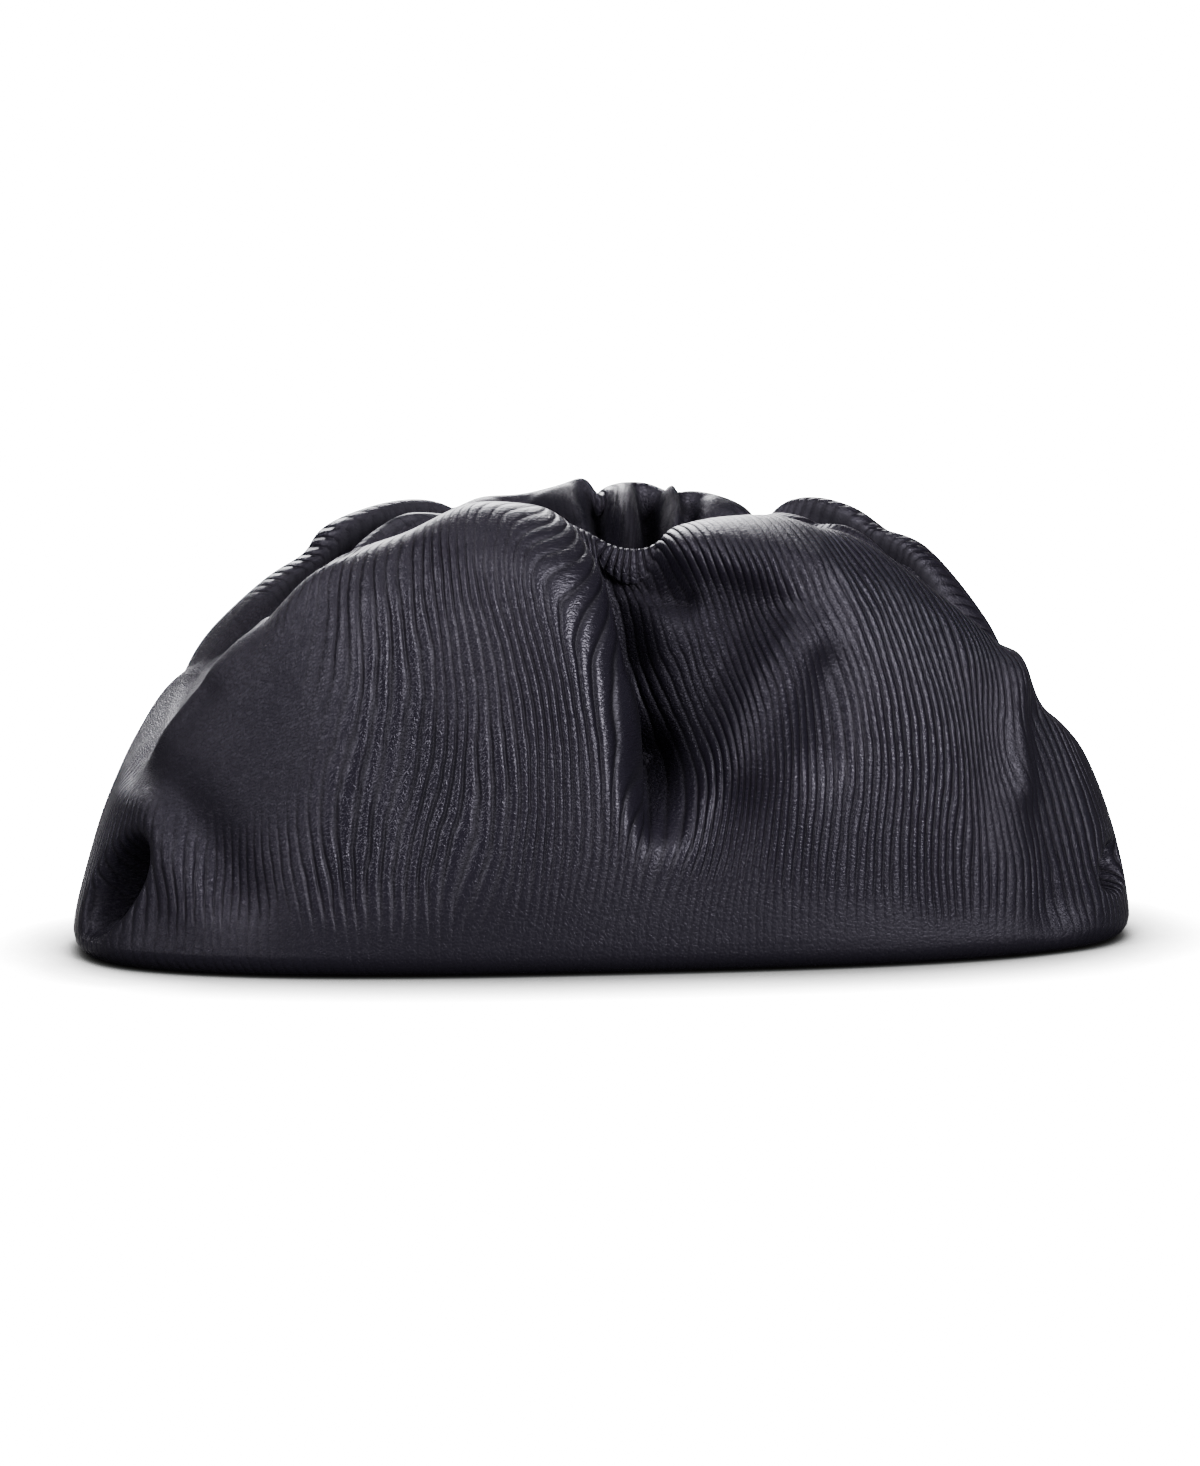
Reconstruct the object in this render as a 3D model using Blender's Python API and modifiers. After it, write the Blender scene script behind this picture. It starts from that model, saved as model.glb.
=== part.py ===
"""A gathered leather clutch: one soft hollow pouch drawn in round a straight snap frame.

The frame is hidden in the cleft between the front and back gathers, so it is one plain piece.
Metres, +Z up. The bag rests on the floor at Z = 0, with its long side along X and its front at -Y.
"""

import math

import bmesh
import bpy
import numpy as np

# Driving sizes
LENGTH = 0.400
DEPTH = 0.150
HEIGHT = 0.175
WALL = 0.002
HEEL_RADIUS = 0.008
FRAME_LENGTH = 0.220
FRAME_THICKNESS = 0.012
FRAME_BAR = 0.014
FRAME_LEG = 0.040
FRAME_LEG_WIDTH = 0.010
FRAME_TOP = 0.120
FRAME_CORNER = 0.006
FRAME_EDGE = 0.003
HEM_LAP = 0.010
HEM_RISE = 0.004
CLEARANCE = 0.0003

# How far above the floor the dents reach their full depth
DENT_FADE = 0.024

# How the plan outline and the wall are rounded
OUTLINE_POWER = 2.7

# How finely the leather is divided
STRIPS = 116
HEEL_STEPS = 3
WALL_STEPS = 12
THROAT_STEPS = 7
HEEL_UP = 0.07

# Round the bag, "around" runs from 0 at the left end, past the middle of the front at 0.25, the
# right end at 0.5 and the middle of the back at 0.75, to the left end again at 1.
# Up the leather, "up" runs from 0 at the floor to 1 at the crest of the gathers and 2 at the hem.

# The crest of the gathers: x in half lengths, y in half depths, z in heights. Full is 1 where the
# wall swells as an ellipse does, and lower where it runs straighter up to a sharper crest.
CREST_COLUMNS = ("around", "x", "y", "z", "full")
CREST_ROWS = (
    (0.000, -0.850, 0.03, 0.46, 0.55),
    (0.035, -0.865, -0.26, 0.46, 0.50),
    (0.065, -0.835, -0.44, 0.54, 0.50),
    (0.090, -0.755, -0.47, 0.655, 0.60),
    (0.115, -0.655, -0.47, 0.775, 0.70),
    (0.140, -0.555, -0.46, 0.870, 0.80),
    (0.170, -0.420, -0.46, 0.920, 0.90),
    (0.200, -0.280, -0.46, 0.985, 0.95),
    (0.225, -0.140, -0.46, 0.975, 1.00),
    (0.238, -0.065, -0.45, 0.940, 1.00),
    (0.252, 0.005, -0.41, 0.885, 1.00),
    (0.268, 0.070, -0.41, 0.882, 1.00),
    (0.283, 0.120, -0.43, 0.920, 1.00),
    (0.305, 0.210, -0.45, 0.950, 1.05),
    (0.335, 0.325, -0.46, 0.958, 1.00),
    (0.368, 0.450, -0.46, 0.905, 0.95),
    (0.400, 0.580, -0.45, 0.795, 0.85),
    (0.430, 0.710, -0.42, 0.670, 0.75),
    (0.460, 0.810, -0.32, 0.540, 0.65),
    (0.500, 0.865, 0.02, 0.460, 0.60),
    (0.540, 0.840, 0.34, 0.510, 0.65),
    (0.575, 0.765, 0.46, 0.690, 0.80),
    (0.610, 0.640, 0.46, 0.860, 0.95),
    (0.645, 0.480, 0.46, 0.945, 1.00),
    (0.680, 0.340, 0.45, 0.950, 1.00),
    (0.715, 0.170, 0.46, 0.975, 1.00),
    (0.750, 0.010, 0.48, 1.000, 1.00),
    (0.785, -0.150, 0.46, 0.965, 1.00),
    (0.820, -0.310, 0.46, 0.965, 1.00),
    (0.855, -0.480, 0.46, 0.925, 1.00),
    (0.890, -0.645, 0.46, 0.785, 0.85),
    (0.925, -0.765, 0.46, 0.650, 0.65),
    (0.960, -0.830, 0.36, 0.530, 0.55),
)

# The deep pleats that run up to the hem. Widths are in half lengths, depths in half depths.
# A lap above 0 leans the left bank over the pleat, seen from outside, and below 0 the right bank.
PLEAT_COLUMNS = ("top", "foot", "foot_up", "onset", "left", "right", "depth", "drop", "lap", "throat")
PLEAT_ROWS = (
    (0.227, 0.260, 0.22, 0.16, 0.060, 0.200, 0.45, 0.00, 0.046, 0.00),
    (0.256, 0.264, 0.72, 0.25, 0.050, 0.045, -0.11, 0.00, 0.000, -0.02),
    (0.120, 0.110, 0.62, 0.40, 0.050, 0.060, 0.08, 0.02, 0.015, 0.03),
    (0.345, 0.350, 0.80, 0.30, 0.050, 0.050, 0.04, 0.02, 0.000, 0.06),
    (0.560, 0.555, 0.45, 0.45, 0.060, 0.060, 0.08, 0.02, 0.020, 0.04),
    (0.625, 0.620, 0.55, 0.40, 0.045, 0.045, 0.06, 0.02, 0.020, 0.06),
    (0.682, 0.690, 0.35, 0.45, 0.055, 0.055, 0.20, 0.09, -0.030, 0.07),
    (0.718, 0.715, 0.62, 0.35, 0.035, 0.035, 0.10, 0.06, 0.000, 0.06),
    (0.757, 0.762, 0.40, 0.45, 0.045, 0.060, 0.22, 0.08, 0.030, 0.08),
    (0.815, 0.808, 0.50, 0.45, 0.050, 0.050, 0.10, 0.03, -0.020, 0.07),
    (0.872, 0.862, 0.40, 0.45, 0.055, 0.055, 0.06, 0.02, 0.020, 0.05),
    (0.930, 0.945, 0.35, 0.50, 0.060, 0.060, 0.08, 0.02, 0.000, 0.03),
)

# Dents pressed into the leather, and swellings where the depth is below 0. The place is in half
# lengths, half depths and heights. Run is the half length along the slant, which is in degrees
# from level. Run and width are in half lengths, depth in half depths.
DENT_COLUMNS = ("x", "y", "z", "run", "width", "slant", "depth")
DENT_ROWS = (
    (-0.950, -0.50, 0.215, 0.110, 0.055, 55, 0.36),
    (-0.860, -0.82, 0.260, 0.120, 0.045, -60, -0.06),
    (-0.790, -0.90, 0.240, 0.130, 0.060, -66, 0.06),
    (0.245, -0.62, 0.760, 0.200, 0.050, -18, 0.16),
    (0.243, -0.80, 0.560, 0.140, 0.050, 66, -0.11),
    (0.150, -0.80, 0.580, 0.150, 0.060, 64, 0.12),
    (0.370, -0.85, 0.540, 0.110, 0.050, 84, 0.05),
    (-0.560, -0.70, 0.720, 0.200, 0.050, 76, 0.05),
    (-0.350, -0.90, 0.480, 0.250, 0.120, 60, 0.05),
    (0.935, -0.50, 0.170, 0.065, 0.045, 20, 0.22),
    (0.830, -0.62, 0.330, 0.200, 0.045, 80, 0.14),
    (0.760, -0.72, 0.400, 0.200, 0.040, 80, -0.05),
    (0.950, 0.50, 0.180, 0.080, 0.055, 0, 0.20),
    (-0.950, 0.50, 0.180, 0.080, 0.055, 0, 0.20),
    (0.450, 0.90, 0.450, 0.220, 0.080, 70, 0.06),
    (0.060, 0.85, 0.600, 0.200, 0.090, -75, -0.04),
    (-0.150, 0.90, 0.420, 0.200, 0.080, 75, 0.06),
    (-0.500, 0.88, 0.420, 0.220, 0.080, -70, 0.06),
)


def clear_scene():
    for item in list(bpy.data.objects):
        bpy.data.objects.remove(item, do_unlink=True)


def named_rows(columns, rows):
    """Each row as a dictionary from column name to value."""
    return [dict(zip(columns, row)) for row in rows]


def smooth_loop(at, values, period, where):
    """A closed Catmull-Rom curve through values, one row for each place in at."""
    at = np.asarray(at, float)
    values = np.asarray(values, float)
    places = np.concatenate([at[-2:] - period, at, at[:2] + period])
    knots = np.concatenate([values[-2:], values, values[:2]])
    slopes = (knots[2:] - knots[:-2]) / (places[2:] - places[:-2])[:, None]
    places, knots = places[1:-1], knots[1:-1]
    where = np.mod(np.asarray(where, float), period)
    left = np.clip(np.searchsorted(places, where, side="right") - 1, 0, len(places) - 2)
    span = places[left + 1] - places[left]
    t = ((where - places[left]) / span)[..., None]
    span = span[..., None]
    return (
        (2 * t**3 - 3 * t**2 + 1) * knots[left]
        + (t**3 - 2 * t**2 + t) * span * slopes[left]
        + (3 * t**2 - 2 * t**3) * knots[left + 1]
        + (t**3 - t**2) * span * slopes[left + 1]
    )


def smooth_step(value):
    value = np.clip(value, 0.0, 1.0)
    return value * value * (3.0 - 2.0 * value)


def even_places(points, around):
    """Points of a closed outline at even shares of its length, starting at its first point."""
    steps = np.linalg.norm(np.roll(points, -1, axis=0) - points, axis=1)
    reached = np.concatenate([[0.0], np.cumsum(steps)])
    looped = np.vstack([points, points[:1]])
    wanted = np.mod(around, 1.0) * reached[-1]
    return np.stack([np.interp(wanted, reached, looped[:, k]) for k in (0, 1)], axis=-1)


def base_outline(around, inset):
    """The superellipse that the wall stands on, drawn in by inset."""
    turn = math.pi + np.linspace(0.0, 2.0 * math.pi, 4000, endpoint=False)
    bend = 2.0 / OUTLINE_POWER
    x = (LENGTH / 2 - inset) * np.sign(np.cos(turn)) * np.abs(np.cos(turn)) ** bend
    y = (DEPTH / 2 - inset) * np.sign(np.sin(turn)) * np.abs(np.sin(turn)) ** bend
    return even_places(np.stack([x, y], axis=1), around)


def hem_outline(around):
    """The slot round the frame that the hem closes on: straight sides with round ends."""
    radius = FRAME_THICKNESS / 2 + CLEARANCE
    straight = FRAME_LENGTH / 2 - FRAME_EDGE / 2
    half_turn = np.linspace(-math.pi / 2, math.pi / 2, 40)
    right = np.stack([straight + radius * np.cos(half_turn), radius * np.sin(half_turn)], axis=1)
    left = -right
    loop = np.vstack([left[20:], right, left[:20]])
    return even_places(loop, around)


def crest_line(around):
    """The highest line of each strip of leather, before it is pleated."""
    rows = named_rows(CREST_COLUMNS, CREST_ROWS)
    values = [(r["x"] * LENGTH / 2, r["y"] * DEPTH / 2, r["z"] * HEIGHT, r["full"]) for r in rows]
    return smooth_loop([r["around"] for r in rows], values, 1.0, around)


def smooth_pouch(around, up):
    """The unpleated leather: a round heel, a quarter ellipse up to the crest and one down to the hem."""
    base = base_outline(around, 0.0)
    foot = base_outline(around, HEEL_RADIUS)
    crest = crest_line(around)
    hem = hem_outline(around)
    points = np.zeros((len(around), len(up), 3))
    for j, level in enumerate(up):
        if level <= HEEL_UP:
            turn = level / HEEL_UP * math.pi / 2
            points[:, j, :2] = foot + (base - foot) * math.sin(turn)
            points[:, j, 2] = HEEL_RADIUS * (1.0 - math.cos(turn))
        elif level <= 1.0:
            turn = (level - HEEL_UP) / (1.0 - HEEL_UP) * math.pi / 2
            bend = 2.0 - crest[:, 3]
            lean = math.cos(turn) ** bend
            points[:, j, :2] = crest[:, :2] + (base - crest[:, :2]) * lean[:, None]
            rise = math.sin(turn) ** bend
            points[:, j, 2] = HEEL_RADIUS + (crest[:, 2] - HEEL_RADIUS) * rise
        else:
            share = level - 1.0
            points[:, j, :2] = crest[:, :2] + (hem - crest[:, :2]) * math.sin(share * math.pi / 2)
            points[:, j, 2] = throat_heights(crest[:, 2], share)
    return points


def throat_heights(crest, share):
    """Heights from the crest at share 0 to the hem at 1. A crest below the frame's top rises over it."""
    climb = np.maximum(FRAME_TOP + HEM_RISE - crest, 0.0)
    turned = 0.6 * smooth_step(climb / (3.0 * HEM_LAP))
    fall = 1.0 - np.cos(np.clip((share - turned) / (1.0 - turned), 0.0, 1.0) * math.pi / 2)
    top = crest + climb
    return crest + climb * smooth_step(share / 0.6) + (FRAME_TOP - HEM_LAP - top) * fall


def eased(points, rounds, first, last):
    """Evens out each strip between two levels, so that nothing kinks at the crest."""
    for _ in range(rounds):
        middle = points[:, first:last]
        beside = (points[:, first - 1 : last - 1] + points[:, first + 1 : last + 1]) / 2
        points[:, first:last] = middle + (beside - middle) * 0.5
    return points


def plan_directions(around):
    """Unit vectors along the outline and into the bag, seen from above."""
    ahead = base_outline(around + 0.002, 0.0) - base_outline(around - 0.002, 0.0)
    ahead = ahead / np.linalg.norm(ahead, axis=1, keepdims=True)
    inward = np.stack([-ahead[:, 1], ahead[:, 0]], axis=1)
    return ahead, inward


def pleated(points, around, up):
    """Sinks each pleat into the wall and the crest, and leans its bank over it."""
    ahead, inward = plan_directions(around)
    perimeter = np.linalg.norm(np.diff(base_outline(np.linspace(0, 1, 400), 0.0), axis=0), axis=1).sum()
    level_in = np.interp(up, (0.0, 0.5, 1.0, 1.40, 2.0), (1.0, 1.0, 0.36, 0.0, 0.0))
    level_down = np.interp(up, (0.0, 0.5, 1.0, 1.6, 2.0), (0.0, 0.0, 1.0, 0.3, 0.0))
    level_throat = np.interp(up, (1.0, 1.35, 1.7, 2.0), (0.0, 1.0, 0.6, 0.0))
    level_lap = np.interp(up, (0.0, 0.85, 1.15, 1.5, 2.0), (1.0, 1.0, 0.4, 0.0, 0.0))
    for row in named_rows(PLEAT_COLUMNS, PLEAT_ROWS):
        strength = smooth_step((up - row["foot_up"]) / row["onset"])
        share = np.clip((up - row["foot_up"]) / (1.0 - row["foot_up"]), 0.0, 1.0)
        centre = row["foot"] + (row["top"] - row["foot"]) * share
        offset = (around[:, None] - centre[None, :]) * perimeter / (LENGTH / 2)
        taper = 0.4 + 0.6 * share
        side = np.where(offset < 0, row["left"], row["right"]) * taper
        valley = np.exp(-((offset / side) ** 2))
        bank = np.exp(-(((offset / side) + np.sign(row["lap"]) * 0.9) ** 2) / 0.5)
        sink = valley * strength * row["depth"] * DEPTH / 2
        lean = bank * strength * row["lap"] * LENGTH / 2
        throat = valley * strength * row["throat"] * DEPTH / 2
        inwards = sink * level_in - throat * level_throat
        points[..., :2] += inwards[..., None] * inward[:, None, :]
        points[..., :2] += (lean * level_lap)[..., None] * ahead[:, None, :]
        drop = valley * strength * row["drop"] * HEIGHT
        points[..., 2] -= drop * level_down
    return points


def inward_normals(points):
    """Unit normals of the grid, pointing into the leather."""
    along = np.roll(points, -1, axis=0) - np.roll(points, 1, axis=0)
    upward = np.gradient(points, axis=1)
    normals = np.cross(upward, along)
    length = np.linalg.norm(normals, axis=2, keepdims=True)
    return normals / np.maximum(length, 1e-9)


def dented(points, smooth, up):
    """Presses each dent in along the normal of the unpleated leather, on the wall alone."""
    normals = inward_normals(smooth)
    size = np.array((LENGTH / 2, DEPTH / 2, HEIGHT))
    total = np.zeros(points.shape[:2])
    for row in named_rows(DENT_COLUMNS, DENT_ROWS):
        away = points - np.array((row["x"], row["y"], row["z"])) * size
        distance = np.linalg.norm(away, axis=2)
        nearest = np.unravel_index(np.argmin(distance), distance.shape)
        inward = normals[nearest]
        level = np.array((inward[1], -inward[0], 0.0))
        level = level / np.linalg.norm(level)
        above = np.cross(level, inward)
        slant = math.radians(row["slant"])
        run = away @ (level * math.cos(slant) + above * math.sin(slant)) / (LENGTH / 2)
        beside = away @ (above * math.cos(slant) - level * math.sin(slant)) / (LENGTH / 2)
        through = away @ inward / (DEPTH / 2)
        reach = (run / row["run"]) ** 2 + (beside / row["width"]) ** 2 + (through / 0.8) ** 2
        total += row["depth"] * DEPTH / 2 * np.exp(-reach)
    off_floor = smooth_step(smooth[..., 2] / DENT_FADE)
    on_wall = 1.0 - smooth_step((up - 0.95) / 0.15)
    return points + normals * (total * off_floor * on_wall)[..., None]


def strip_places():
    """Where the strips lie round the bag: closer together where pleats need them."""
    fine = np.linspace(0.0, 1.0, 2001)
    density = np.ones_like(fine)
    for row in named_rows(PLEAT_COLUMNS, PLEAT_ROWS):
        density += 1.2 * np.exp(-(((fine - row["top"]) / 0.03) ** 2))
    for corner in (0.04, 0.46):
        density += 1.2 * np.exp(-(((fine - corner) / 0.03) ** 2))
    reached = np.concatenate([[0.0], np.cumsum((density[1:] + density[:-1]) / 2)])
    wanted = np.linspace(0.0, reached[-1], STRIPS, endpoint=False)
    return np.interp(wanted, reached, fine)


def level_places():
    heel = np.linspace(0.0, HEEL_UP, HEEL_STEPS + 1)
    wall = np.linspace(HEEL_UP, 1.0, WALL_STEPS + 1)[1:]
    throat = np.linspace(1.0, 2.0, THROAT_STEPS + 1)[1:]
    return np.concatenate([heel, wall, throat])


def leather_grid():
    around, up = strip_places(), level_places()
    crest_level = HEEL_STEPS + WALL_STEPS
    points = smooth_pouch(around, up)
    points = eased(points, 4, crest_level - 3, crest_level + 3)
    return dented(pleated(points.copy(), around, up), points, up)


def leather_material():
    material = bpy.data.materials.new("charcoal_leather")
    material.use_nodes = True
    shader = material.node_tree.nodes["Principled BSDF"]
    shader.inputs["Base Color"].default_value = (0.022, 0.021, 0.026, 1.0)
    shader.inputs["Roughness"].default_value = 0.42
    return material


def frame_material():
    material = bpy.data.materials.new("dark_metal")
    material.use_nodes = True
    shader = material.node_tree.nodes["Principled BSDF"]
    shader.inputs["Base Color"].default_value = (0.05, 0.05, 0.055, 1.0)
    shader.inputs["Metallic"].default_value = 1.0
    shader.inputs["Roughness"].default_value = 0.45
    return material


def make_pouch(collection):
    """The leather: rings of the grid joined into one open skin, closed underneath, then given its wall."""
    grid = leather_grid()
    count, levels = grid.shape[:2]
    body = bmesh.new()
    rings = [[body.verts.new(grid[i, j]) for i in range(count)] for j in range(levels)]
    for lower, upper in zip(rings, rings[1:]):
        for i in range(count):
            k = (i + 1) % count
            body.faces.new((lower[i], lower[k], upper[k], upper[i]))
    body.faces.new(list(reversed(rings[0])))
    mesh = bpy.data.meshes.new("pouch_body")
    body.to_mesh(mesh)
    body.free()
    mesh.shade_smooth()
    mesh.materials.append(leather_material())
    pouch = bpy.data.objects.new("pouch_body", mesh)
    collection.objects.link(pouch)
    wall = pouch.modifiers.new("leather_wall", "SOLIDIFY")
    wall.thickness = WALL
    wall.offset = -1.0
    return pouch


def make_frame(collection):
    """The snap frame, shut: a bar with a leg at each end, cut from one thick outline."""
    half = FRAME_LENGTH / 2
    top, under = FRAME_TOP, FRAME_TOP - FRAME_BAR
    foot = under - FRAME_LEG
    inner = half - FRAME_LEG_WIDTH
    quarter = [math.radians(a) for a in (90, 67.5, 45, 22.5, 0)]
    centre = (half - FRAME_CORNER, top - FRAME_CORNER)
    shoulder = [(centre[0] + FRAME_CORNER * math.cos(a), centre[1] + FRAME_CORNER * math.sin(a)) for a in quarter]
    right = shoulder + [(half, foot), (inner, foot), (inner, under)]
    outline = right + [(-x, z) for x, z in reversed(right)]
    curve = bpy.data.curves.new("frame_outline", "CURVE")
    curve.dimensions = "2D"
    curve.fill_mode = "BOTH"
    curve.extrude = FRAME_THICKNESS / 2 - FRAME_EDGE
    curve.bevel_depth = FRAME_EDGE
    curve.offset = -FRAME_EDGE
    curve.bevel_resolution = 2
    spline = curve.splines.new("POLY")
    spline.points.add(len(outline) - 1)
    for point, (x, z) in zip(spline.points, outline):
        point.co = (x, z, 0.0, 1.0)
    spline.use_cyclic_u = True
    frame = bpy.data.objects.new("snap_frame", curve)
    frame.rotation_euler = (math.pi / 2, 0.0, 0.0)
    curve.materials.append(frame_material())
    collection.objects.link(frame)
    return frame


def main():
    clear_scene()
    collection = bpy.data.collections.new("gathered_clutch")
    bpy.context.scene.collection.children.link(collection)
    make_pouch(collection)
    make_frame(collection)


main()
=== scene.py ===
# %% [markdown]
# # A gathered leather clutch
#
# The bag is one soft pouch, drawn in round a straight snap frame that its own folds hide.
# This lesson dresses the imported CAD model: it makes the leather again as a fine surface, gives
# it an embossed grain, and lights it like a studio picture. Lengths are in metres, +Z is up,
# the bag's long side runs along X and its front faces -Y.

import math

import bpy
import numpy as np
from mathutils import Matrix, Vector


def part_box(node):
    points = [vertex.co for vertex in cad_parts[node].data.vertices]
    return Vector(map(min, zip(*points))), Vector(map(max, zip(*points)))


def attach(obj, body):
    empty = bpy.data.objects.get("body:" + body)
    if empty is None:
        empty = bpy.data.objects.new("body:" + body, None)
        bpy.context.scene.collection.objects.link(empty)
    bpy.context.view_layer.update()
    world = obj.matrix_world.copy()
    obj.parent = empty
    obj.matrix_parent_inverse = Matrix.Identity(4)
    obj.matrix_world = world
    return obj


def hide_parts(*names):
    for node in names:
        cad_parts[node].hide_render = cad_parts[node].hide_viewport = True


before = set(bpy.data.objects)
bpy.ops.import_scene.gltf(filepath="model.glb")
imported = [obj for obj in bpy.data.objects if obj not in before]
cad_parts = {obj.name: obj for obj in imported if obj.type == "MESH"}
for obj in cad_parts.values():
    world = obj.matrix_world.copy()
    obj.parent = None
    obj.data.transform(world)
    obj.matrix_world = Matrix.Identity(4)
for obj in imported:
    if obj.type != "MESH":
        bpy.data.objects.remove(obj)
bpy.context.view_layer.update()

# %% [markdown]
# ## The camera
#
# The picture was taken from a little to the left of the bag's front and a little above it,
# from far enough away that the bag hardly tapers. The lens is worked out from how much of the
# picture's height the bag takes, so the distance can change without changing the framing.

# %% Place the camera
PICTURE_WIDTH, PICTURE_HEIGHT = 1200, 1466
VIEW_AZIMUTH, VIEW_ELEVATION = math.radians(-7.0), math.radians(8.0)
VIEW_DISTANCE = 1.7
SEEN_WIDTH = 0.4516
AIM = Vector((-0.002, 0.0, 0.0785))


def place_camera():
    """A camera on a sphere round the aim point. Its lens fits the seen width into the picture."""
    data = bpy.data.cameras.new("studio_camera")
    data.sensor_width = 36.0
    data.lens = data.sensor_width * VIEW_DISTANCE / (SEEN_WIDTH * PICTURE_HEIGHT / PICTURE_WIDTH)
    data.clip_start = 0.05
    camera = bpy.data.objects.new("studio_camera", data)
    bpy.context.scene.collection.objects.link(camera)
    away = Vector((
        math.sin(VIEW_AZIMUTH) * math.cos(VIEW_ELEVATION),
        -math.cos(VIEW_AZIMUTH) * math.cos(VIEW_ELEVATION),
        math.sin(VIEW_ELEVATION),
    ))
    camera.location = AIM + away * VIEW_DISTANCE
    camera.rotation_euler = (-away).to_track_quat("-Z", "Y").to_euler()
    bpy.context.scene.camera = camera
    print("lens in mm:", round(data.lens, 1))


place_camera()

# %% [markdown]
# ## Where a point lies on the leather
#
# The leather is a sheet that was wrapped into a tube and gathered at its top. Two numbers say
# where a point lies on it. "Around" runs from 0 at the left end, past the middle of the front
# at 0.25, the right end at 0.5 and the middle of the back at 0.75. "Up" runs from 0 at the
# floor to 1 at the crest of the gathers and 2 at the hem, which closes on the frame.

# %% Sizes from the frame
low, high = (np.array(corner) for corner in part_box("pouch_body"))
frame_low, frame_high = (np.array(corner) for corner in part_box("snap_frame"))
LENGTH, DEPTH = (high - low)[:2]
CREST_HEIGHT = 0.175
WALL = 0.002
HEEL_RADIUS = 0.008
HEEL_UP = 0.07
OUTLINE_POWER = 2.7
OUTLINE_POINTS = 4000
FRAME_LENGTH, FRAME_THICKNESS = (frame_high - frame_low)[:2]
FRAME_TOP = frame_high[2]
FRAME_EDGE = 0.003
HEM_LAP = 0.010
HEM_RISE = 0.004
HEM_POINTS = 20
CLEARANCE = 0.0003
DENT_FADE = 0.024
print("leather:", round(LENGTH, 3), "x", round(DEPTH, 3), "x", round(high[2], 3), "m")

# %% [markdown]
# ## Tables of the shape
#
# The crest rows give the line of the gathers: its place as shares of half the length, half the
# depth and the crest's height, and how full the wall below bulges. Pleats and ruffles are placed
# by around and up, dents and folds by their place in the bag. A fold's left side is the one on
# the left hand of someone who walks from its start to its end, seen from the front. The gather
# shade rows say where the gathers close over the leather: there shade is painted into its colour,
# and it is made duller.

# %% Crest, pleats, dents, folds, ruffles and painted gather shade
CREST_COLUMNS = ("around", "x", "y", "z", "full")
CREST_ROWS = (
    (0.000, -0.850, 0.03, 0.46, 0.55),
    (0.035, -0.865, -0.26, 0.46, 0.50),
    (0.065, -0.835, -0.44, 0.54, 0.50),
    (0.090, -0.755, -0.47, 0.655, 0.60),
    (0.115, -0.655, -0.47, 0.775, 0.70),
    (0.140, -0.555, -0.46, 0.870, 0.80),
    (0.170, -0.420, -0.46, 0.920, 0.90),
    (0.200, -0.280, -0.46, 0.984, 0.95),
    (0.225, -0.140, -0.46, 0.958, 1.00),
    (0.238, -0.065, -0.45, 0.924, 1.00),
    (0.252, 0.005, -0.41, 0.885, 1.00),
    (0.268, 0.070, -0.41, 0.882, 1.00),
    (0.283, 0.120, -0.43, 0.920, 1.00),
    (0.305, 0.210, -0.45, 0.942, 1.05),
    (0.335, 0.325, -0.46, 0.944, 1.00),
    (0.368, 0.450, -0.46, 0.898, 0.95),
    (0.400, 0.580, -0.45, 0.795, 0.85),
    (0.430, 0.710, -0.42, 0.670, 0.75),
    (0.460, 0.810, -0.32, 0.540, 0.65),
    (0.500, 0.865, 0.02, 0.460, 0.60),
    (0.540, 0.840, 0.34, 0.510, 0.65),
    (0.575, 0.765, 0.46, 0.690, 0.80),
    (0.610, 0.640, 0.46, 0.860, 0.95),
    (0.645, 0.480, 0.46, 0.945, 1.00),
    (0.680, 0.340, 0.45, 0.950, 1.00),
    (0.715, 0.170, 0.46, 0.975, 1.00),
    (0.750, 0.010, 0.48, 1.000, 1.00),
    (0.785, -0.150, 0.46, 0.965, 1.00),
    (0.820, -0.310, 0.46, 0.965, 1.00),
    (0.855, -0.480, 0.46, 0.925, 1.00),
    (0.890, -0.645, 0.46, 0.785, 0.85),
    (0.925, -0.765, 0.46, 0.650, 0.65),
    (0.960, -0.830, 0.36, 0.530, 0.55),
)
PLEAT_COLUMNS = ("top", "foot", "foot_up", "onset", "left", "right", "depth", "drop", "lap", "throat")
PLEAT_ROWS = (
    (0.227, 0.260, 0.22, 0.16, 0.060, 0.200, 0.45, 0.01, 0.060, 0.02),
    (0.256, 0.264, 0.72, 0.25, 0.050, 0.045, -0.11, 0.00, 0.000, -0.02),
    (0.120, 0.110, 0.62, 0.40, 0.050, 0.060, 0.08, 0.02, 0.015, 0.03),
    (0.345, 0.350, 0.80, 0.30, 0.050, 0.050, 0.04, 0.02, 0.000, 0.06),
    (0.560, 0.555, 0.45, 0.45, 0.060, 0.060, 0.08, 0.02, 0.020, 0.04),
    (0.625, 0.620, 0.55, 0.40, 0.045, 0.045, 0.06, 0.02, 0.020, 0.06),
    (0.682, 0.690, 0.35, 0.45, 0.055, 0.055, 0.20, 0.07, -0.030, 0.07),
    (0.718, 0.715, 0.62, 0.35, 0.035, 0.035, 0.10, 0.01, 0.000, 0.06),
    (0.748, 0.758, 0.40, 0.45, 0.045, 0.050, 0.20, 0.04, 0.030, 0.06),
    (0.755, 0.757, 0.80, 0.15, 0.022, 0.036, -0.04, -0.025, 0.000, 0.00),
    (0.815, 0.808, 0.50, 0.45, 0.050, 0.050, 0.10, 0.03, -0.020, 0.07),
    (0.872, 0.862, 0.40, 0.45, 0.055, 0.055, 0.06, 0.02, 0.020, 0.05),
    (0.930, 0.945, 0.35, 0.50, 0.060, 0.060, 0.08, 0.02, 0.000, 0.03),
)
DENT_COLUMNS = ("x", "y", "z", "run", "width", "slant", "depth", "edge")
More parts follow.
